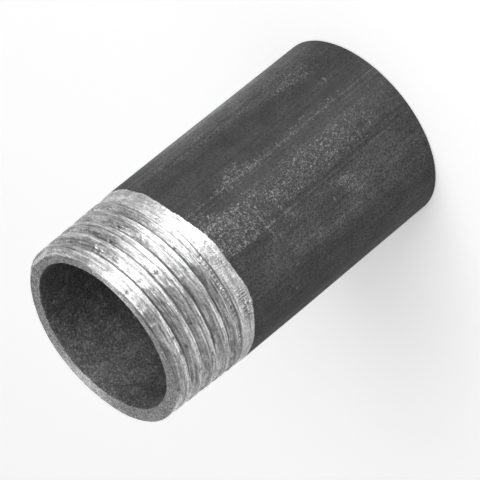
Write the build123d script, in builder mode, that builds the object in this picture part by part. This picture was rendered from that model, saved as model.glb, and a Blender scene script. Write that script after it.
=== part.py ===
from build123d import *
import math
import os

os.makedirs("parts", exist_ok=True)

# A steel pipe nipple with one threaded end and one plain end, in one piece.
# It stands on its plain end: Z is the axis of the pipe, the plain end is at
# Z 0 and the threaded end is at the top. Lengths are in millimetres.

# Pipe of nominal bore 15, light wall
pipe_outside_diameter = 21.3
pipe_wall = 2.0
nipple_length = 38.0

# Taper pipe thread R 1/2, right hand. The cone is turned on the pipe first and
# ends where it reaches the pipe's skin. The full thread length is measured
# along the axis from the threaded end to where the groove starts to run out.
threads_per_inch = 14
thread_angle = 55.0
thread_taper = 1 / 16
cone_length = 10.7
groove_depth = 0.72
full_thread_length = 8.07
runout_length = 1.81

# Edges
threaded_end_chamfer = 0.3
plain_end_edge_break = 0.15
bore_edge_break = 0.12

# How far the thread cutter reaches outside the steel
cutter_clearance = 0.314

# How far above the cone the tip of the cutter ends
runout_lift = 0.05

pipe_radius = pipe_outside_diameter / 2
bore_radius = pipe_radius - pipe_wall
thread_pitch = 25.4 / threads_per_inch
taper_slope = thread_taper / 2
crest_radius_at_end = pipe_radius - cone_length * taper_slope
cone_foot = nipple_length - cone_length

# The thread form. A sharp groove loses a sixth of the height of its triangle
# at the root, which is cut flat here, where the real one is slightly rounded.
flank_slope = math.tan(math.radians(thread_angle / 2))
sharp_height = thread_pitch / (2 * flank_slope)
root_half_width = sharp_height / 6 * flank_slope
cutter_height = groove_depth + cutter_clearance
cutter_half_width = root_half_width + cutter_height * flank_slope

# The groove starts above the threaded end, with the cutter clear of the steel.
# At full depth the tip of the cutter runs down a cone of the thread's taper.
groove_start = nipple_length + cutter_half_width + cutter_clearance
runout_start = nipple_length - full_thread_length
full_depth_height = groove_start - runout_start
full_depth_turn = 360 * full_depth_height / thread_pitch
crest_radius_at_runout = crest_radius_at_end + full_thread_length * taper_slope
root_radius_at_runout = crest_radius_at_runout - groove_depth
root_radius_at_start = root_radius_at_runout - full_depth_height * taper_slope
taper_angle = math.atan(taper_slope)

# Over the run-out the groove leaves the steel: its root climbs by the depth
# of the groove and by the taper, on a steeper cone.
runout_climb = groove_depth + runout_lift
runout_angle = math.atan(runout_climb / runout_length + taper_slope)

with BuildPart() as pipe_nipple:
    # Pipe with its cone, chamfer and broken edges
    with BuildSketch(Plane.XZ):
        with BuildLine():
            Polyline(
                (bore_radius + bore_edge_break, 0),
                (pipe_radius - plain_end_edge_break, 0),
                (pipe_radius, plain_end_edge_break),
                (pipe_radius, cone_foot),
                (
                    crest_radius_at_end + threaded_end_chamfer * taper_slope,
                    nipple_length - threaded_end_chamfer,
                ),
                (crest_radius_at_end - threaded_end_chamfer, nipple_length),
                (bore_radius + bore_edge_break, nipple_length),
                (bore_radius, nipple_length - bore_edge_break),
                (bore_radius, bore_edge_break),
                close=True,
            )
        make_face()
    revolve(axis=Axis.Z)

    # Thread groove: one cutter is carried down the full depth and the run-out.
    # The run-out is turned to start where the full depth ends.
    with BuildLine() as groove_path:
        Helix(
            pitch=thread_pitch / math.cos(taper_angle),
            height=full_depth_height,
            radius=root_radius_at_start,
            center=(0, 0, groove_start),
            direction=(0, 0, -1),
            cone_angle=math.degrees(taper_angle),
        )
        runout_helix = Helix(
            pitch=thread_pitch / math.cos(runout_angle),
            height=runout_length,
            radius=root_radius_at_runout,
            center=(0, 0, runout_start),
            direction=(0, 0, -1),
            cone_angle=math.degrees(runout_angle),
            mode=Mode.PRIVATE,
        )
        add(runout_helix.rotate(Axis.Z, -full_depth_turn))
    with BuildSketch(Plane.XZ) as groove_section:
        with BuildLine():
            Polyline(
                (-root_radius_at_start, groove_start + root_half_width),
                (-root_radius_at_start, groove_start - root_half_width),
                (
                    -root_radius_at_start - cutter_height,
                    groove_start - cutter_half_width,
                ),
                (
                    -root_radius_at_start - cutter_height,
                    groove_start + cutter_half_width,
                ),
                close=True,
            )
        make_face()
    sweep(
        sections=groove_section.sketch,
        path=groove_path.line,
        is_frenet=True,
        mode=Mode.SUBTRACT,
    )

pipe_nipple.part.label = "pipe_nipple"
export_step(pipe_nipple.part, "parts/pipe_nipple.step")
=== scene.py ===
import math

import bmesh
import bpy
import numpy as np
from mathutils import Matrix, Vector


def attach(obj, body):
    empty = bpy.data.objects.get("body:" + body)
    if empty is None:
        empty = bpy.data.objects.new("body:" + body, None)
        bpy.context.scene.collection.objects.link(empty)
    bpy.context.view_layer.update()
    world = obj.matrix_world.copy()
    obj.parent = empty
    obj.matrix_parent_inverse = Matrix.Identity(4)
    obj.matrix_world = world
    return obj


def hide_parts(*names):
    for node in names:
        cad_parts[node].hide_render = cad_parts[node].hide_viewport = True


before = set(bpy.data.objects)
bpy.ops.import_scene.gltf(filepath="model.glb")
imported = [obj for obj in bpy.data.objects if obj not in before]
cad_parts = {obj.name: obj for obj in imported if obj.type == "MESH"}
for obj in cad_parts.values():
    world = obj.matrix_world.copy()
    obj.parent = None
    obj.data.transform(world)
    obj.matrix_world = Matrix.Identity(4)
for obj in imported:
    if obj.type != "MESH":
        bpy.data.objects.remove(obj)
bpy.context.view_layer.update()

# A short length of steel pipe that stands on its plain end, thread upward.
# The model is worked out in millimetres: "down" is the distance below the
# threaded end, and "turn" is the angle round the pipe in degrees from the
# front (-Y), growing towards -X.
MM = 0.001
LENGTH = 38.0
SKIN_RADIUS = 10.65
BORE_RADIUS = 8.65

# Thread
PITCH = 25.4 / 14
CONE_SLOPE = 1 / 32
CREST_AT_END = 10.29
GROOVE_DEPTH = 0.68
ROOT_HALF = 0.15
FLANK = math.tan(math.radians(27.5))
GROOVE_HALF = ROOT_HALF + GROOVE_DEPTH * FLANK
GROOVE_START = -1.08
LAST_FULL_TURN = 5.0
RUNOUT_TURNS = 1.0
THREAD_FOOT = 9.5

# How much the floor shines for the camera, on top of the light that it gets
FLOOR_GLOW = 0.36
# Middle of the painted shadow patch that the metal mirrors in the floor
SHADOW_MIDDLE = (-0.026, 0.037, 0.0)

# How bright the world is for the light that it gives; to the camera and in
# the metal it is white
WORLD_LEVEL = 0.42

# Mesh
COLUMNS = 520
BODY_COLUMNS = 260
BORE_COLUMNS = 208


# ---- Shapes worked out on arrays of points ----

def soft_step(low, high, value):
    t = np.clip((value - low) / (high - low), 0, 1)
    return t * t * (3 - 2 * t)


def wrap(turn):
    return (turn + 180) % 360 - 180


def round_noise(turn, down, around, step, seed):
    """Smooth noise from -1 to 1 with a whole number of cells round the pipe."""
    table = np.random.default_rng(seed).uniform(-1, 1, (around, 256))
    u = (turn % 360) / 360 * around
    v = down / step + 20
    i = np.floor(u).astype(int)
    j = np.floor(v).astype(int)
    fu = u - i
    fv = v - j
    fu = fu * fu * (3 - 2 * fu)
    fv = fv * fv * (3 - 2 * fv)
    i0, i1 = i % around, (i + 1) % around
    j0, j1 = j % 256, (j + 1) % 256
    low = table[i0, j0] * (1 - fu) + table[i1, j0] * fu
    high = table[i0, j1] * (1 - fu) + table[i1, j1] * fu
    return low * (1 - fv) + high * fv


# How far down the bright cone reaches, at turns round the pipe
CONE_FOOT = [
    (-180, 10.45), (-150, 10.6), (-120, 10.5), (-90, 10.4), (-70, 10.35), (-60, 10.15),
    (-50, 10.2), (-40, 10.0), (-30, 10.0), (-20, 10.3), (-10, 10.6), (0, 10.75),
    (15, 10.8), (25, 11.1), (35, 11.25), (45, 11.05), (52, 10.82), (60, 10.75),
    (70, 10.6), (100, 10.3), (140, 10.55),
]


# How wide the edge of the threaded end is filed off, at turns round the pipe
END_CHAMFER = [
    (-180, 0.0), (-165, 0.04), (-150, 0.24), (-135, 0.40), (-120, 0.46), (-90, 0.45), (-60, 0.40),
    (-30, 0.32), (0, 0.27), (30, 0.2), (60, 0.13), (90, 0.05), (120, 0.02), (150, 0.0),
]


def round_curve(points, turn):
    """A smooth closed curve through a few values round the pipe."""
    turns = np.array([p[0] for p in points], float)
    values = np.array([p[1] for p in points], float)
    fine = np.arange(-180, 180, 1.0)
    line = np.interp(fine, np.append(turns, turns[0] + 360), np.append(values, values[0]))
    kernel = np.exp(-0.5 * (np.arange(-9, 10) / 3.0) ** 2)
    kernel /= kernel.sum()
    line = np.convolve(np.concatenate([line[-9:], line, line[:9]]), kernel, "valid")
    return np.interp(wrap(turn), np.append(fine, 180.0), np.append(line, line[0]))


def cone_foot(turn):
    wave = 0.05 * round_noise(turn, 0 * turn, 60, 1.0, 11)
    wave += 0.04 * round_noise(turn, 0 * turn, 150, 1.0, 12)
    return round_curve(CONE_FOOT, turn) + wave


def cone_radius(turn, down):
    """The cone was turned a little off the pipe's centre, towards +X."""
    off = 0.06 * (1 - down / 12)
    spread = far_side(turn, 152, 38) * 0.18 * np.exp(-((down / 1.6) ** 2))
    return CREST_AT_END + down * CONE_SLOPE - off * np.sin(np.radians(turn)) + spread


def far_side(turn, middle, half):
    """1 at the far side of the rim, where it is bent slightly outward."""
    return np.exp(-((wrap(turn - middle) / half) ** 2))


def chamfer_radius(turn, down):
    width = round_curve(END_CHAMFER, turn) + 0.04 * round_noise(turn, 0 * turn, 90, 1.0, 35)
    return cone_radius(turn, 0 * down) - np.maximum(width, 0.02) + down


def turns_cut(turn):
    """Turns of thread from where the groove starts, within the first turn."""
    return ((270 + turn) / 360) % 1.0


# Nicks and torn spots in the thread: turn, down, half length in degrees,
# half width in mm, depth in mm
NICKS = [
    (36, 1.6, 1.6, 0.10, 0.12), (36, 2.6, 1.2, 0.10, 0.10), (26, 1.55, 1.0, 0.22, 0.12),
    (52, 5.2, 1.5, 0.14, 0.14), (57, 3.35, 1.5, 0.12, 0.14), (24, 4.96, 1.2, 0.10, 0.10),
    (2, 4.8, 3.0, 0.10, 0.08), (0, 6.67, 4.0, 0.10, 0.08), (-69, 3.45, 1.2, 0.10, 0.12),
    (-47, 5.75, 1.2, 0.10, 0.12), (-43, 3.83, 1.0, 0.10, 0.10), (-29, 3.37, 1.2, 0.08, 0.10),
]


def small_nicks(count):
    """More nicks of the same kind, smaller, all round the thread."""
    rng = np.random.default_rng(7)
    return [
        (rng.uniform(-180, 180), rng.uniform(0.7, 8.6), rng.uniform(0.5, 1.3),
         rng.uniform(0.05, 0.12), rng.uniform(0.03, 0.10))
        for _ in range(count)
    ]


def nick_depth(turn, down):
    depth = 0 * turn
    for at, low, half, width, cut in NICKS + small_nicks(90):
        near = np.abs(wrap(turn - at)) < 4 * half
        away = (wrap(turn[near] - at) / half) ** 2 + ((down[near] - low) / width) ** 2
        depth[near] += cut * np.exp(-away)
    return depth


def chatter_marks(turn, down):
    """Teeth that a chattering cutter left along the last crest, and the fine
    line beside them."""
    sway = 2.2 * round_noise(turn, 0 * turn, 40, 1.0, 31) + 0.8 * round_noise(turn, 0 * turn, 110, 1.0, 36)
    beat = np.radians(turn) * 132 + sway
    gap = 0.5 + 0.5 * np.sin(beat + 0.8 * np.sin(beat) + 3 * (down - 8.7))
    gap = gap * (0.75 + 0.45 * round_noise(turn, 0 * turn, 130, 1.0, 37))
    middle = 8.62 + 0.004 * np.minimum(turn, 40)
    here = soft_step(-12, 0, turn) * soft_step(95, 70, turn)
    teeth = np.exp(-(((down - middle) / 0.17) ** 4)) * gap
    line = np.exp(-(((down - middle - 0.31) / 0.14) ** 4))
    line = line * (0.8 + 0.2 * round_noise(turn, 0 * turn, 80, 1.0, 38))
    return (0.17 * teeth + 0.15 * line) * here


def groove(turn, down):
    """Depth of the thread groove below the cone, and how high its lips stand."""
    first = turns_cut(turn)
    count = np.round((down - GROOVE_START) / PITCH - first)
    count = np.clip(count, -1, LAST_FULL_TURN)
    s = down - GROOVE_START - PITCH * (count + first)
    out = np.clip((count + first - LAST_FULL_TURN) / RUNOUT_TURNS, 0, 1)
    depth_here = GROOVE_DEPTH * (1 - out) ** 1.7
    ragged = 0.032 * round_noise(turn, count * 3.7, 170, 1.0, 21)
    ragged += 0.028 * round_noise(turn, count * 5.1, 60, 1.0, 22)
    torn = 0.034 * round_noise(turn, count * 2.9, 150, 1.0, 24)
    torn += 0.030 * round_noise(turn, count * 4.3, 48, 1.0, 25)
    near = (GROOVE_HALF + s + ragged) / FLANK
    far_slope = FLANK + 3.2 * out
    far = (GROOVE_HALF + 0.9 * out - s + torn) / far_slope
    depth = np.minimum(near, far)
    # The root is rounded
    edge = 0.16
    t = np.clip((depth_here - depth) / edge, -1, 1)
    depth = np.where(
        depth > depth_here + edge, depth_here,
        np.where(depth < depth_here - edge, depth, depth_here - edge * (1 + t) ** 2 / 4),
    )
    depth = np.maximum(depth, 0)
    depth = np.where((out >= 1) | (count + first < 0), 0, depth)
    # Lips drawn up along both edges of the groove, and a slight hollow between
    swell = 0.6 + 0.4 * round_noise(turn, count * 2.3, 34, 1.0, 23)
    lip = np.exp(-(((np.abs(s) - GROOVE_HALF - 0.055) / 0.05) ** 2)) * swell
    lip = np.where(count + first > LAST_FULL_TURN + 0.9, 0, lip)
    # A second, fine line that the die's other teeth left on the crest
    fine = s - 0.76 - 0.05 * round_noise(turn, count * 1.7, 20, 1.0, 26)
    fine = np.exp(-((fine / 0.075) ** 2)) * (0.65 + 0.55 * round_noise(turn, count * 3.1, 16, 1.0, 27))
    fine = np.where((count + first < 0) | (s > 0.87), 0, np.maximum(fine, 0))
    return depth, lip, 0.075 * fine, out


def outer_skin(turn, down):
    """Radius of the outside at each point, with what the surface is there."""
    foot = cone_foot(turn)
    cone = cone_radius(turn, down)
    at_foot = cone_radius(turn, foot)
    skin = at_foot + (SKIN_RADIUS - at_foot) * soft_step(foot + 1, foot + 9, down)
    radius = np.where(down < foot, cone, skin)
    depth, lip, fine_line, out = groove(turn, down)
    on_cone = soft_step(0.05, -0.25, down - foot)
    depth = depth * on_cone
    bite = chatter_marks(turn, down) + nick_depth(turn, down) + fine_line * on_cone
    rough = 0.014 * round_noise(turn, down, 230, 0.16, 33) + 0.010 * round_noise(turn, down, 90, 0.3, 34)
    rough = rough * on_cone
    height = 0.04 * lip * on_cone - depth - bite + rough
    radius = radius + np.minimum(height, 0.045) - 0.035 * on_cone
    filed = np.where(down < 1.0, radius - chamfer_radius(turn, down), 0)
    radius = radius - np.maximum(filed, 0)
    broken = down - (LENGTH - 0.15)
    radius = radius - np.maximum(broken, 0)
    thread_share = soft_step(1.0, 0.8, out) * on_cone * soft_step(-0.2, 0.1, down)
    return np.minimum(radius, SKIN_RADIUS), depth, bite, down - foot, thread_share, soft_step(0, 0.03, filed)


# ---- The pieces of the mesh ----

def ribbon_rows():
    """Rows across one pitch, closest at the edges of the groove."""
    side = [0.08, 0.155, 0.24, 0.32, 0.40, 0.46, 0.505, 0.545, 0.59, 0.66, 0.75, 0.84]
    return sorted([0.0] + side + [-v for v in side])


def thread_ribbon():
    """The threaded part as a grid whose rows follow the groove, cut off flat
    at the threaded end and at the foot of the thread."""
    rows = ribbon_rows()
    per_turn = len(rows)
    turns = int(math.ceil((THREAD_FOOT - GROOVE_START) / PITCH)) + 2
    points = []
    for turn_no in range(-2, turns):
        for row in rows:
            for column in range(COLUMNS):
                share = column / COLUMNS
                down = GROOVE_START + PITCH * (turn_no + share) + row
                angle = math.radians(-90 - (360 * share - 270))
                points.append((10 * math.cos(angle), 10 * math.sin(angle), LENGTH - down))
    total = per_turn * (turns + 2)
    faces = []
    for row in range(total - 1):
        for column in range(COLUMNS):
            a = row * COLUMNS + column
            b = a + COLUMNS
            if column < COLUMNS - 1:
                faces.append((a, a + 1, b + 1, b))
            elif row + per_turn + 1 < total:
                c = (row + per_turn) * COLUMNS
                faces.append((a, c, c + COLUMNS, b))
    mesh = bpy.data.meshes.new("thread")
    mesh.from_pydata(points, [], faces)
    work = bmesh.new()
    work.from_mesh(mesh)
    bpy.data.meshes.remove(mesh)

    def cut(down, keep):
        geometry = work.verts[:] + work.edges[:] + work.faces[:]
        bmesh.ops.bisect_plane(
            work, geom=geometry, dist=0.004, plane_co=(0, 0, LENGTH - down), plane_no=(0, 0, 1),
            clear_outer=keep == "below", clear_inner=keep == "above",
        )

    cut(0.0, "below")
    cut(THREAD_FOOT, "above")
    for down in (0.06, 0.2, 0.35, 0.5):
        cut(down, "both")
    work.verts.index_update()
    top, foot = [], []
    for v in work.verts:
        if any(len(e.link_faces) == 1 for e in v.link_edges):
            high = v.co.z > LENGTH - THREAD_FOOT / 2
            v.co.z = LENGTH if high else LENGTH - THREAD_FOOT
            (top if high else foot).append(v.index)
    points = np.array([v.co[:] for v in work.verts])
    faces = [tuple(v.index for v in f.verts) for f in work.faces]
    work.free()
    return points, faces, top, foot


class Shell:
    """Points and faces gathered from several strips."""

    def __init__(self):
        self.points = []
        self.faces = []
        self.parts = []

    def add(self, points):
        start = len(self.points)
        self.points.extend(points)
        return list(range(start, len(self.points)))

    def turn_of(self, index):
        x, y, z = self.points[index]
        return math.atan2(y, x)

    def quads(self, loop_a, loop_b, part):
        n = len(loop_a)
        for i in range(n):
            j = (i + 1) % n
            self.faces.append((loop_a[i], loop_a[j], loop_b[j], loop_b[i]))
            self.parts.append(part)

    def stitch(self, loop_a, loop_b, part):
        """Joins two closed loops of different counts by their angles."""
        a = sorted(loop_a, key=self.turn_of)
        b = sorted(loop_b, key=self.turn_of)
        i = j = 0
        while i < len(a) or j < len(b):
            next_a = self.turn_of(a[(i + 1) % len(a)]) + (2 * math.pi if i + 1 >= len(a) else 0)
            next_b = self.turn_of(b[(j + 1) % len(b)]) + (2 * math.pi if j + 1 >= len(b) else 0)
            if j >= len(b) or (i < len(a) and next_a <= next_b):
                self.faces.append((a[i % len(a)], a[(i + 1) % len(a)], b[j % len(b)]))
                i += 1
            else:
                self.faces.append((a[i % len(a)], b[(j + 1) % len(b)], b[j % len(b)]))
                j += 1
            self.parts.append(part)


OUTSIDE, SAWN_END, BORE, PLAIN_END = range(4)


def ring_turns(count):
    return wrap(np.arange(count) * 360 / count - 180 + 0.01)


def place(turn, radius, down):
    angle = np.radians(-90 - turn)
    return np.stack([radius * np.cos(angle), radius * np.sin(angle), LENGTH - down], axis=1)


def bore_centre(down):
    """The bore lies a little towards the front at the threaded end."""
    return -0.17 + 0.12 * down / LENGTH


def bore_ring(turn, down, flare):
    ragged = 0.03 * round_noise(turn, 0 * turn + down, 70, 1.0, 41)
    radius = BORE_RADIUS + flare + ragged * np.exp(-down / 0.5)
    radius = radius + 0.28 * far_side(turn, 172, 42) * np.exp(-((down / 0.9) ** 2))
    points = place(turn, radius, down)
    points[:, 1] += bore_centre(np.mean(down))
    return points


def build_nipple():
    shell = Shell()
    flat, faces, top_loop, foot_loop = thread_ribbon()
    down = LENGTH - flat[:, 2]
    turn = wrap(-90 - np.degrees(np.arctan2(flat[:, 1], flat[:, 0])))
    radius = outer_skin(turn, down)[0]
    shell.add([tuple(p) for p in place(turn, radius, down)])
    shell.faces.extend(faces)
    shell.parts.extend([OUTSIDE] * len(faces))

    # Below the thread
    around = ring_turns(COLUMNS)
    before = foot_loop
    for number, level in enumerate(np.arange(THREAD_FOOT + 0.15, 12.0, 0.17)):
        radius = outer_skin(around, 0 * around + level)[0]
        ring = shell.add([tuple(p) for p in place(around, radius, 0 * around + level)])
        if number == 0:
            shell.stitch(before, ring, OUTSIDE)
        else:
            shell.quads(before, ring, OUTSIDE)
        before = ring
    around = ring_turns(BODY_COLUMNS)
    levels = list(np.linspace(12.3, LENGTH - 0.3, 29)) + [LENGTH - 0.15, LENGTH]
    for number, level in enumerate(levels):
        radius = outer_skin(around, 0 * around + level)[0]
        ring = shell.add([tuple(p) for p in place(around, radius, 0 * around + level)])
        if number == 0:
            shell.stitch(before, ring, OUTSIDE)
        else:
            shell.quads(before, ring, OUTSIDE)
        before = ring
    plain_outer = before

    # The sawn face of the threaded end
    around = ring_turns(COLUMNS)
    before = top_loop
    top = np.array([shell.points[i] for i in top_loop])
    top_turn = wrap(-90 - np.degrees(np.arctan2(top[:, 1], top[:, 0])))
    order = np.argsort(top_turn)
    top_radius = np.hypot(top[:, 0], top[:, 1])
    outer = np.interp(around, top_turn[order], top_radius[order], period=360)
    inner_points = bore_ring(around, 0 * around, 0.12)
    inner = np.hypot(inner_points[:, 0], inner_points[:, 1])
    for number, share in enumerate((0.04, 0.15, 0.3, 0.45, 0.6, 0.75, 0.88, 0.96)):
        radius = outer + (inner - outer) * share
        sink = 0.03 + 0.022 * round_noise(around, radius * 3, 150, 0.6, 42) * min(1, share * 8)
        sink = sink + 0.02 * round_noise(around, radius, 24, 0.9, 43)
        ring = shell.add([tuple(p) for p in place(around, radius, np.maximum(sink, 0.0))])
        if number == 0:
            shell.stitch(before, ring, SAWN_END)
        else:
            shell.quads(before, ring, SAWN_END)
        before = ring

    # Bore
    around = ring_turns(BORE_COLUMNS)
    near_side = soft_step(75, 35, np.abs(wrap(around)))
    levels = [(0.03, 0.12), (0.06, 0.08), (0.12, 0.04), (0.22, 0.0), (0.5, 0.0)]
    levels += [(v, 0.0) for v in np.linspace(1.2, LENGTH - 0.3, 22)] + [(LENGTH - 0.12, 0.0), (LENGTH, 0.12)]
    for number, (level, flare) in enumerate(levels):
        worn = near_side * 0.32 * soft_step(0.5, 0.0, level)
        points = bore_ring(around, 0 * around + level, flare + worn)
        ring = shell.add([tuple(p) for p in points])
        if number == 0:
            shell.stitch(before, ring, SAWN_END)
        else:
            shell.quads(before, ring, BORE)
        before = ring
    bore_foot = before

    # Plain end
    around = ring_turns(BODY_COLUMNS)
    before = bore_foot
    for number, share in enumerate((0.15, 0.4, 0.7, 0.92)):
        radius = BORE_RADIUS + 0.12 + (SKIN_RADIUS - 0.15 - BORE_RADIUS - 0.12) * share
        lift = 0.012 + 0.012 * round_noise(around, 0 * around + radius * 3, 90, 1.0, 44)
        ring = shell.add([tuple(p) for p in place(around, 0 * around + radius, LENGTH - lift)])
        if number == 0:
            shell.stitch(before, ring, PLAIN_END)
        else:
            shell.quads(before, ring, PLAIN_END)
        before = ring
    shell.stitch(before, plain_outer, PLAIN_END)
    return finished_mesh(shell)


# ---- Wear of the scale: turn, down, half width in degrees, half length, amount ----

# Where the scale is rubbed into light specks
WORN = [
    (-2, 22, 11, 15, 0.85), (2, 13.5, 12, 3.0, 0.55), (-10, 11.5, 18, 1.8, 0.6), (-21, 26, 3, 12, 0.65),
    (-22, 17.5, 7, 3.5, 0.45), (27, 17, 8, 2.4, 0.35), (33, 22.5, 4, 4.5, 0.35), (20, 28, 8, 3, 0.3),
    (-56, 20, 9, 12, 0.45), (-50, 32, 10, 4, 0.5), (-46, 30.5, 3, 3, 0.4), (-75, 24, 8, 16, 0.35),
    (-28, 17.8, 4, 1.6, 0.4), (-33, 33.2, 3, 1.0, 0.7), (10, 15, 2, 4, 0.5), (14, 16.6, 6, 0.5, 0.8),
    (13, 19.9, 4, 0.7, 0.7), (17, 27.3, 3, 0.8, 0.6), (62, 24, 16, 14, 0.12), (78, 22, 6, 14, 0.35),
    (110, 20, 20, 12, 0.5), (150, 26, 16, 10, 0.4), (-120, 18, 18, 12, 0.5),
    (-155, 28, 14, 8, 0.4), (-165, 15, 12, 4, 0.35), (130, 13, 16, 3, 0.35),
]

# Where a thin paler film lies on it; the negative entries are painted shade that darkens the scale where the lamps'
# highlight falls
PALE_FILM_AND_SHADE = [
    (-80, 24, 8, 9, 2.2), (-78, 28, 9, 12, 1.0), (-65, 25, 6, 14, 0.7), (-58, 26, 9, 13, 0.45),
    (-2, 24, 12, 17, 0.15), (52, 24, 14, 20, 0.35), (28, 23, 13, 16, 0.8), (62, 35, 8, 3, 0.2),
    (74, 22, 7, 18, 0.35), (120, 22, 16, 16, 0.5), (-140, 22, 18, 14, 0.5), (-35, 24, 10, 14, -0.1),
    (-22, 22, 6, 16, -0.25), (-16, 13, 8, 3, -0.3), (12, 24, 3, 14, 0.2),
    (160, 26, 10, 14, 0.3), (22, 35, 14, 4, 0.1),
]

# Thin streaks along the pipe: turn, half width in degrees, amount
STREAKS = [
    (-67, 0.3, 0.075), (-20.3, 0.25, 0.05), (-17, 0.2, 0.03), (-31, 0.15, -0.02), (10.5, 0.2, 0.04),
    (-11, 0.3, 0.02), (78, 0.4, -0.03), (112, 0.4, 0.05), (-126, 0.3, 0.05), (158, 0.3, 0.04),
]

# Single marks: turn, down, half width in degrees, half length, amount
MARKS = [
    (0, 14.0, 1.2, 0.15, 0.12), (2, 14.8, 1.5, 0.1, 0.10), (-4, 13.6, 0.8, 0.3, 0.08), (0, 19.7, 0.5, 0.2, 0.10),
    (-5, 29.2, 0.7, 0.1, 0.16), (5, 29.2, 0.8, 0.1, 0.14), (-24, 27.7, 0.5, 0.3, 0.08), (-34, 33.2, 1.3, 0.12, 0.10),
    (53, 17.0, 0.8, 0.1, 0.15), (39, 17.7, 0.5, 0.3, 0.12), (22, 24.8, 1.2, 0.08, 0.14), (17, 27.3, 0.8, 0.35, 0.06),
    (14, 19.8, 1.6, 0.12, 0.08), (62, 33.7, 1.4, 0.12, -0.04), (4, 30.9, 0.8, 0.15, -0.03), (-1, 17.6, 1.0, 0.12, -0.03),
    (118, 16.0, 1.0, 0.2, 0.12), (143, 24.5, 1.2, 0.12, 0.12), (-112, 27.0, 0.8, 0.3, 0.12), (-146, 14.8, 1.2, 0.1, 0.12),
    (-162, 31.0, 0.6, 0.4, 0.10), (171, 20.0, 1.3, 0.1, 0.10), (98, 30.2, 0.8, 0.2, 0.12),
]


def smooth_patch(turn, down):
    """A smooth dark spot with a rubbed ring round it: how rubbed, how dark."""
    away = np.sqrt((wrap(turn - 25) / 9) ** 2 + ((down - 23.8) / 3.4) ** 2)
    return 0.55 * np.exp(-(((away - 1.15) / 0.28) ** 2)), np.exp(-(away / 0.8) ** 4)


def patches(table, turn, down):
    amount = 0 * turn
    for at, low, half, reach, strength in table:
        amount = amount + strength * np.exp(-((wrap(turn - at) / half) ** 4) - ((down - low) / reach) ** 4)
    return amount


def finished_mesh(shell):
    points = np.array(shell.points)
    mesh = bpy.data.meshes.new("nipple")
    mesh.from_pydata([tuple(p) for p in points * MM], [], shell.faces)
    part = mesh.attributes.new("part", "INT", "FACE")
    part.data.foreach_set("value", shell.parts)
    work = bmesh.new()
    work.from_mesh(mesh)
    bmesh.ops.recalc_face_normals(work, faces=work.faces[:])
    loose = [e for e in work.edges if len(e.link_faces) != 2]
    print("open edges", len(loose), "faces", len(work.faces), "triangles", sum(len(f.verts) - 2 for f in work.faces))
    work.to_mesh(mesh)
    work.free()
    if sum(f.normal.z * f.area for f in mesh.polygons if f.center.z > 0.0379) < 0:
        mesh.flip_normals()

    points = np.array([v.co[:] for v in mesh.vertices]) / MM
    radius = np.hypot(points[:, 0], points[:, 1])
    turn = wrap(-90 - np.degrees(np.arctan2(points[:, 1], points[:, 0])))
    down = LENGTH - points[:, 2]
    _, cut, bite, past, threaded, filed = outer_skin(turn, down)
    outside = np.zeros(len(points))
    sawn = np.zeros(len(points))
    bore = np.zeros(len(points))
    parts = np.zeros(len(mesh.polygons), int)
    mesh.attributes["part"].data.foreach_get("value", parts)
    for polygon, kind in zip(mesh.polygons, parts):
        target = (outside, sawn, bore, sawn)[kind]
        for v in polygon.vertices:
            target[v] = 1
    sawn = np.where(outside > 0, 0.8 * filed, sawn)
    bore = np.where((outside > 0) | (sawn > 0), 0.0, bore)
    ring, spot = smooth_patch(turn, down)
    values = {
        "below_crest": cut * outside, "past_cone": past, "threaded": threaded * outside,
        # Used as painted shade: darkens the colour in nicks, chatter gaps and the fine line
        "painted_bite_shade": np.clip(bite / 0.09, 0, 1) * outside,
        "worn": np.clip(patches(WORN, turn, down) + ring, 0, 1) * (1 - spot),
        "pale": patches(PALE_FILM_AND_SHADE, turn, down) - 0.15 * spot, "sawn": sawn, "bore": bore,
    }
    for name, value in values.items():
        attribute = mesh.attributes.new(name, "FLOAT", "POINT")
        attribute.data.foreach_set("value", value.astype(np.float32))
    bake_layout(mesh, points, parts)
    mesh.shade_smooth()
    mesh.set_sharp_from_angle(angle=math.radians(50))
    return mesh


def bake_layout(mesh, points, parts):
    """UV map: the outside and the bore unrolled, the sawn end as it lies."""
    layer = mesh.uv_layers.new(name="OFBake")
    loops = np.zeros(len(mesh.loops), int)
    mesh.loops.foreach_get("vertex_index", loops)
    kinds = np.zeros(len(loops), int)
    middle = np.zeros(len(loops))
    angle = np.arctan2(points[:, 1], points[:, 0])
    for polygon, kind in zip(mesh.polygons, parts):
        start, count = polygon.loop_start, polygon.loop_total
        kinds[start:start + count] = kind
        middle[start:start + count] = math.atan2(polygon.center[1], polygon.center[0])
    x, y, z = points[loops].T
    around = angle[loops]
    around = around + 2 * np.pi * (middle - around > np.pi) - 2 * np.pi * (around - middle > np.pi)
    share = (around + np.pi) / (2 * np.pi)
    radius = np.hypot(x, y)
    uv = np.zeros((len(loops), 2))
    outside, sawn, bore, plain = [kinds == k for k in (OUTSIDE, SAWN_END, BORE, PLAIN_END)]
    uv[outside] = np.stack([0.01 + 0.97 * share, 0.008 + 0.556 * z / LENGTH], 1)[outside]
    uv[bore] = np.stack([0.01 + 0.52 * share, 0.64 + 0.35 * z / LENGTH], 1)[bore]
    uv[sawn] = np.stack([0.78 + 0.0149 * x, 0.815 + 0.0149 * y], 1)[sawn]
    uv[plain] = np.stack([0.01 + 0.97 * share, 0.58 + 0.02 * (radius - 8.6)], 1)[plain]
    layer.data.foreach_set("uv", uv.ravel())


# ---- Shader maths ----

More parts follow.
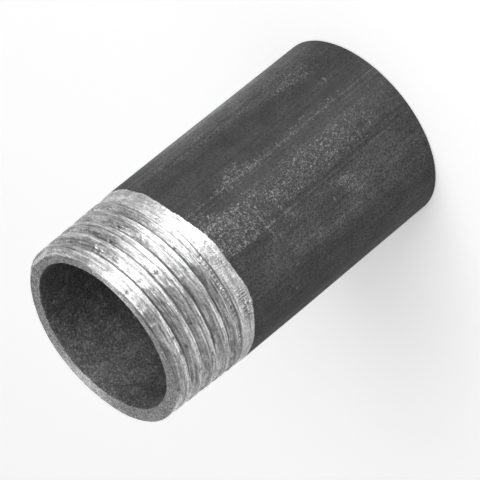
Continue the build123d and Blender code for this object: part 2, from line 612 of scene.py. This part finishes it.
class Value:
    """A socket that holds a number and takes part in sums."""

    def __init__(self, tree, socket):
        self.tree = tree
        self.socket = socket

    def math(self, operation, *others, clamp=False):
        return self.tree.node(
            "ShaderNodeMath", {"operation": operation, "use_clamp": clamp},
            dict(enumerate((self,) + others)),
        )

    def __add__(self, other):
        return self.math("ADD", other)

    __radd__ = __add__

    def __mul__(self, other):
        return self.math("MULTIPLY", other)

    __rmul__ = __mul__

    def __sub__(self, other):
        return self.math("SUBTRACT", other)

    def __rsub__(self, other):
        return self.tree.number(other).math("SUBTRACT", self)

    def __truediv__(self, other):
        return self.math("DIVIDE", other)

    def __neg__(self):
        return self * -1

    def __pow__(self, other):
        return self.math("POWER", other)

    def smooth(self, low, high):
        """0 below low, 1 above high, or the other way round if low is greater."""
        if low > high:
            return 1 - self.smooth(high, low)
        return self.tree.node(
            "ShaderNodeMapRange", {"interpolation_type": "SMOOTHSTEP"},
            {"Value": self, "From Min": low, "From Max": high},
        )

    def held(self):
        return self.math("ADD", 0.0, clamp=True)


class Tree:
    """A material's nodes."""

    def __init__(self, material):
        self.nodes = material.node_tree.nodes
        self.links = material.node_tree.links

    def node(self, kind, settings=None, inputs=None, output=0):
        made = self.nodes.new(kind)
        for name, value in (settings or {}).items():
            setattr(made, name, value)
        for name, value in (inputs or {}).items():
            socket = made.inputs[name]
            if isinstance(value, Value):
                self.links.new(value.socket, socket)
            else:
                socket.default_value = value
        return Value(self, made.outputs[output])

    def number(self, value):
        if isinstance(value, Value):
            return value
        return self.node("ShaderNodeMath", {"operation": "ADD"}, {0: value, 1: 0.0})

    def attribute(self, name):
        return self.node("ShaderNodeAttribute", {"attribute_name": name}, output="Fac")

    def vector(self, x, y, z):
        return self.node("ShaderNodeCombineXYZ", None, {0: x, 1: y, 2: z})

    def noise(self, vector, scale=1.0, detail=2.0, rough=0.5, twist=0.0, w=None):
        settings = {"noise_dimensions": "4D" if w is not None else "3D"}
        inputs = {"Vector": vector, "Scale": scale, "Detail": detail, "Roughness": rough, "Distortion": twist}
        if w is not None:
            inputs["W"] = w
        return self.node("ShaderNodeTexNoise", settings, inputs)

    def blend(self, share, first, second):
        return self.node(
            "ShaderNodeMix", {"data_type": "RGBA"}, {0: share, 6: first, 7: second}, output=2,
        )

    def grey(self, value):
        return self.node("ShaderNodeCombineColor", None, {0: value, 1: value, 2: value})


def mixed(share, first, second):
    return first + (second - first) * share


def steel():
    """Black mill scale, bright cut thread with painted shade and painted highlights in its grooves, rough sawn end,
    dark bore with painted shade deeper in.
    """
    material = bpy.data.materials.new("black_steel_cut_thread")
    material.use_nodes = True
    material.node_tree.nodes.clear()
    tree = Tree(material)
    place_mm = tree.node("ShaderNodeTexCoord", output="Object")
    place_mm = tree.node("ShaderNodeVectorMath", {"operation": "SCALE"}, {0: place_mm, "Scale": 1000.0})
    parts = tree.node("ShaderNodeSeparateXYZ", None, {0: place_mm})
    x = parts
    y = Value(tree, parts.socket.node.outputs[1])
    z = Value(tree, parts.socket.node.outputs[2])
    down = LENGTH - z
    angle = y.math("ARCTAN2", x)
    turn = (-x).math("ARCTAN2", -y) * (180 / math.pi)
    below = tree.attribute("below_crest")
    past = tree.attribute("past_cone")
    threaded = tree.attribute("threaded")
    worn = tree.attribute("worn")
    pale = tree.attribute("pale")
    sawn = tree.attribute("sawn")
    bore = tree.attribute("bore")
    painted_bite_shade = tree.attribute("painted_bite_shade")

    def line(value, at, half, soft):
        return (value - at).math("ABSOLUTE").smooth(half + soft, half)

    grit = tree.noise(place_mm, 5.5, 3.0, 0.7)
    fine_grit = tree.noise(place_mm, 13.0, 2.0, 0.6)
    cloud = tree.noise(place_mm, 0.45, 3.0, 0.55)
    patchy = tree.noise(place_mm, 1.3, 4.0, 0.65, 0.5)
    worms = tree.noise(place_mm, 2.2, 4.0, 0.66, 1.6)
    dots = tree.noise(place_mm, 5.0, 3.0, 0.62, 0.8)
    mottle = tree.noise(place_mm, 3.6, 3.0, 0.7, 0.3)
    pits = tree.noise(place_mm, 4.6, 2.0, 0.6, 0.4)

    # Streaks that follow the thread
    phase = (down - GROOVE_START) / PITCH * math.tau + angle - math.pi
    across = phase.math("COSINE")
    along = phase.math("SINE")
    streak_at = tree.vector(x * 0.13, y * 0.13 + z * 0.35, across * 2.6)
    streaks = tree.noise(streak_at, 1.0, 4.0, 0.6, w=along * 2.6)
    broad_at = tree.vector(x * 0.35, y * 0.35 + z * 0.6, across * 0.9)
    broad = tree.noise(broad_at, 1.0, 3.0, 0.6, w=along * 0.9)
    hair_at = tree.vector(x * 0.7, y * 0.7 + z * 0.9, across * 1.6)
    hair = tree.noise(hair_at, 1.0, 3.0, 0.65, w=along * 1.6)

    # Bright cut metal, with light and shade painted into its colour: painted
    # shade makes the groove's bottom dark, a painted highlight makes the flank
    # that faces the threaded end bright at its foot, and a painted highlight
    # makes the crest brightest at its far edge
    band = past.smooth(-1.9, -1.4)
    s = along.math("ARCTAN2", across) * (PITCH / math.tau) + (broad - 0.5) * 0.12
    # Painted shade at the groove's bottom and a painted highlight at the flank's foot
    groove_painted_light = mixed(s.smooth(0.05, 0.25), 0.42, 1.45)
    groove_painted_light = mixed(s.smooth(0.34, 0.5), groove_painted_light, 1.0)
    # Painted highlight along the crest's far edge
    crest_painted_highlight = mixed(s.smooth(0.0, 0.1), 1.2, 1.0)
    thread_painted_light = mixed(below.smooth(0.02, 0.12), crest_painted_highlight, groove_painted_light)
    thread_painted_light = mixed(threaded, 1.0, thread_painted_light)
    streaky = mixed(streaks.smooth(0.38, 0.62), 0.36, 0.62) * thread_painted_light
    satin = mixed(patchy.smooth(0.38, 0.62), 0.56, 0.74)
    bright = mixed(band, streaky, satin)
    bright = bright * mixed(broad.smooth(0.35, 0.65), 0.80, 1.08)
    # Small ripples torn where the cutter left the steel
    ripple = ((turn + (patchy - 0.5) * 5 + (down - 10.2) ** 2 * 1.5) * 3.7 + (mottle - 0.5) * 10).math("SINE")
    torn = line(turn, 38, 6, 7) * line(down, 10.5, 0.35, 0.5) + 0.35 * line(turn, 18, 10, 8) * line(down, 9.9, 0.5, 0.5)
    # Painted shade darkens the colour where nicks, chatter teeth and the fine line bite in
    bright = bright * (1 - torn * 0.62 * ripple.smooth(-0.2, 0.8)) * (1 - 0.62 * painted_bite_shade)
    bright = bright * mixed(fine_grit.smooth(0.38, 0.62), 0.80, 1.10)
    bright = bright * mixed(grit.smooth(0.36, 0.50), 0.66, 1.05)
    bright = bright * mixed(mottle.smooth(0.36, 0.64), 0.84, 1.16)
    bright = bright * mixed(hair.smooth(0.38, 0.62), mixed(band, 0.66, 0.85), mixed(band, 1.28, 1.12))
    cut_rough = mixed(streaks.smooth(0.35, 0.65), 0.36, 0.27)

    # Sawn end
    saw = tree.noise(tree.vector(x * 1.1, y * 4.0, z), 1.0, 3.0, 0.6)
    sawn_grey = mixed(grit.smooth(0.38, 0.60), 0.15, 0.47) * mixed(saw.smooth(0.38, 0.62), 0.72, 1.25)
    sawn_grey = sawn_grey * mixed(fine_grit.smooth(0.38, 0.6), 0.72, 1.15) * mixed(mottle.smooth(0.36, 0.6), 0.75, 1.2)

    # Scale: cloudy, with light specks where it is worn
    axial = tree.noise(tree.vector(x * 2.2, y * 2.2, z * 0.07), 1.0, 3.0, 0.62)
    wear = worn + 0.5 * (patchy - 0.5) + 0.8 * (axial - 0.5) * worn.smooth(0.05, 0.4)
    level = 0.66 - 0.15 * wear
    speck = (worms - level).smooth(0.0, 0.06)
    spark = (dots - level - 0.06).smooth(0.0, 0.04)
    # The pale film lightens the scale, and the painted shade of the negative entries darkens it
    dark = 0.038 * (1 + 1.6 * pale) * mixed(cloud.smooth(0.35, 0.65), 0.84, 1.16)
    dark = dark * mixed(axial.smooth(0.38, 0.62), 0.86, 1.14) * mixed(grit.smooth(0.38, 0.62), 0.62, 1.38)
    dark = dark * mixed(fine_grit.smooth(0.38, 0.62), 0.72, 1.28)
    dark = dark + 0.02 * wear.held() * mottle.smooth(0.45, 0.60)
    pitted = mixed(pits.smooth(0.38, 0.46), 0.45, 1.0)
    scale_grey = (dark + 0.10 * speck) * pitted + 0.24 * spark
    # Long streaks, a scratch round the pipe, and single marks
    wobble = (patchy - 0.5) * 2.5
    broken = patchy.smooth(0.42, 0.56)
    for at, half, amount in STREAKS:
        streak = line(turn + wobble * 0.6, at, half, 0.5) * mixed(broken, 0.25, 1.0)
        scale_grey = scale_grey + amount * streak
    scratch_at = 16.45 + (turn - 10).math("MAXIMUM", 0.0) * 0.06
    scratch = line(down, scratch_at, 0.02, 0.07) * line(turn, 5, 12, 2) * broken
    scale_grey = scale_grey + 0.09 * scratch
    ragged = (worms - 0.5) * 9
    for at, low, half, reach, amount in MARKS:
        far = ((turn - at) / half) ** 2 + ((down - low) / reach) ** 2
        scale_grey = scale_grey + amount * (far + ragged).smooth(1.5, 0.4)
    scale_grey = scale_grey.math("MAXIMUM", 0.008)

    # Bore: its own dark grey, with painted shade that makes it darker deeper in
    bore_grey_and_painted_shade = mixed(grit.smooth(0.40, 0.62), 0.04, 0.095) * mixed(mottle.smooth(0.40, 0.60), 0.7, 1.3)
    bore_grey_and_painted_shade = bore_grey_and_painted_shade * mixed(cloud.smooth(0.40, 0.60), 0.75, 1.3)
    bore_grey_and_painted_shade = bore_grey_and_painted_shade + 0.09 * (worms - 0.54).smooth(0.0, 0.08) + 0.16 * (dots - 0.60).smooth(0.0, 0.05)
    # Painted shade: darker from 6 to 9.5 mm below the threaded end and on
    bore_grey_and_painted_shade = bore_grey_and_painted_shade * mixed(down.smooth(6.0, 9.5), 1.0, 0.6)

    # Where the scale begins, with a ragged edge
    edge = past + (grit - 0.5) * 0.45
    scaled = edge.smooth(-0.04, 0.06)

    grey = mixed(scaled, bright, scale_grey)
    grey = mixed(sawn, grey, sawn_grey)
    grey = mixed(bore, grey, bore_grey_and_painted_shade)
    metal = (1 - scaled) * (1 - bore)
    metal = mixed(sawn, metal, 0.35)
    rough = mixed(scaled, cut_rough, 0.68)
    rough = mixed(sawn, rough, 0.55)
    rough = mixed(bore, rough, 0.75)

    cut_relief = mixed(band, streaks * 1.3, patchy * 0.5) + fine_grit * 0.25 + grit * 0.35 - 0.5 * torn * ripple
    relief = mixed(scaled, cut_relief, worms * 1.2 + grit * 1.0 + fine_grit * 0.4)
    relief = mixed(sawn, relief, grit * 1.8 + saw * 0.8)
    relief = mixed(bore, relief, worms * 1.6 + grit * 1.4)
    bump = tree.node(
        "ShaderNodeBump", None,
        {"Strength": 0.7, "Distance": 0.00008, "Height": relief},
    )
    shader = tree.nodes.new("ShaderNodeBsdfPrincipled")
    tree.links.new(tree.grey(grey.held()).socket, shader.inputs["Base Color"])
    tree.links.new(rough.socket, shader.inputs["Roughness"])
    tree.links.new(metal.socket, shader.inputs["Metallic"])
    tree.links.new(bump.socket, shader.inputs["Normal"])
    shader.inputs["Anisotropic"].default_value = 1.0
    shader.inputs["Anisotropic Rotation"].default_value = 0.25
    shader.inputs["Specular IOR Level"].default_value = 0.35
    output = tree.nodes.new("ShaderNodeOutputMaterial")
    tree.links.new(shader.outputs[0], output.inputs["Surface"])
    return material


def plain_floor():
    """A pale floor that shows white to the camera and in the metal, and keeps
    the shadow; what the metal mirrors has a painted shadow patch."""
    bpy.ops.mesh.primitive_plane_add(size=6.0, location=(0, 0, 0))
    floor = bpy.context.object
    floor.name = "floor"
    material = bpy.data.materials.new("pale_floor")
    material.use_nodes = True
    material.node_tree.nodes.clear()
    tree = Tree(material)
    matt = tree.node("ShaderNodeBsdfDiffuse", None, {"Color": (0.90, 0.90, 0.90, 1)})
    path = tree.nodes.new("ShaderNodeLightPath")
    # Painted shadow: for glossy rays the floor's glow is left out round where
    # the object's shadow lies, so the metal mirrors a darker patch there
    spot = tree.node("ShaderNodeTexCoord", output="Object")
    away = tree.node("ShaderNodeVectorMath", {"operation": "DISTANCE"}, {0: spot, 1: SHADOW_MIDDLE}, output="Value")
    glossy = Value(tree, path.outputs["Is Glossy Ray"]) * away.smooth(0.02, 0.06)
    seen = Value(tree, path.outputs["Is Camera Ray"]) + glossy
    glow = tree.node("ShaderNodeEmission", None, {"Strength": seen * FLOOR_GLOW})
    both = tree.node("ShaderNodeAddShader", None, {0: matt, 1: glow})
    output = tree.nodes.new("ShaderNodeOutputMaterial")
    tree.links.new(both.socket, output.inputs["Surface"])
    floor.data.materials.append(material)


def soft_light(name, azimuth, elevation, distance, width, height, radiance):
    """A lamp that faces the object, at an azimuth from the front towards +X."""
    azimuth = math.radians(azimuth)
    elevation = math.radians(elevation)
    aim = (0, 0, 0.025)
    place_at = (
        distance * math.cos(elevation) * math.sin(azimuth),
        -distance * math.cos(elevation) * math.cos(azimuth),
        0.025 + distance * math.sin(elevation),
    )
    data = bpy.data.lights.new(name, "AREA")
    data.shape = "RECTANGLE"
    data.size = width
    data.size_y = height
    data.energy = radiance * math.pi * width * height
    lamp = bpy.data.objects.new(name, data)
    lamp.location = place_at
    lamp.rotation_euler = (Vector(aim) - Vector(place_at)).to_track_quat("-Z", "Y").to_euler()
    lamp.visible_camera = False
    bpy.context.scene.collection.objects.link(lamp)
    return lamp


def studio():
    world = bpy.data.worlds.new("studio")
    bpy.context.scene.world = world
    world.use_nodes = True
    nodes = world.node_tree.nodes
    links = world.node_tree.links
    nodes.clear()
    tree = Tree(world)
    path = nodes.new("ShaderNodeLightPath")
    seen = Value(tree, path.outputs["Is Camera Ray"]) + Value(tree, path.outputs["Is Glossy Ray"])
    background = tree.node("ShaderNodeBackground", None, {"Strength": mixed(seen.held(), WORLD_LEVEL, 1.0)})
    output = nodes.new("ShaderNodeOutputWorld")
    links.new(background.socket, output.inputs["Surface"])
    softbox = soft_light("softbox", 31, 36, 0.6, 0.52, 0.80, 2.6)
    softbox.visible_glossy = False
    # What the bright metal mirrors: a bright panel with a fainter edge, and a
    # faint wide panel on the other side
    for name, azimuth, width, radiance in (
        ("bright panel", 33, 0.46, 7.5), ("faint edge", 66, 0.36, 0.9), ("faint panel", -62, 0.94, 0.40),
    ):
        panel = soft_light(name, azimuth, 30, 0.6, width, 0.74, radiance)
        panel.visible_diffuse = False


def camera():
    data = bpy.data.cameras.new("camera")
    data.sensor_width = 36.0
    data.lens = 266.1
    data.clip_start = 0.01
    view = bpy.data.objects.new("camera", data)
    right = Vector((-0.63254, -0.36545, -0.68289))
    up = Vector((0.77452, -0.29434, -0.55990))
    back = right.cross(up)
    turn = Matrix((right, up, back)).transposed().to_4x4()
    view.matrix_world = Matrix.Translation((0.000035, -0.31633, 0.18724)) @ turn
    bpy.context.scene.collection.objects.link(view)
    bpy.context.scene.camera = view


mesh = build_nipple()
nipple = bpy.data.objects.new("nipple", mesh)
bpy.context.scene.collection.objects.link(nipple)
nipple.data.materials.append(steel())
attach(nipple, "root")
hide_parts("pipe_nipple")
plain_floor()
studio()
camera()
bpy.context.scene.view_settings.view_transform = "Standard"
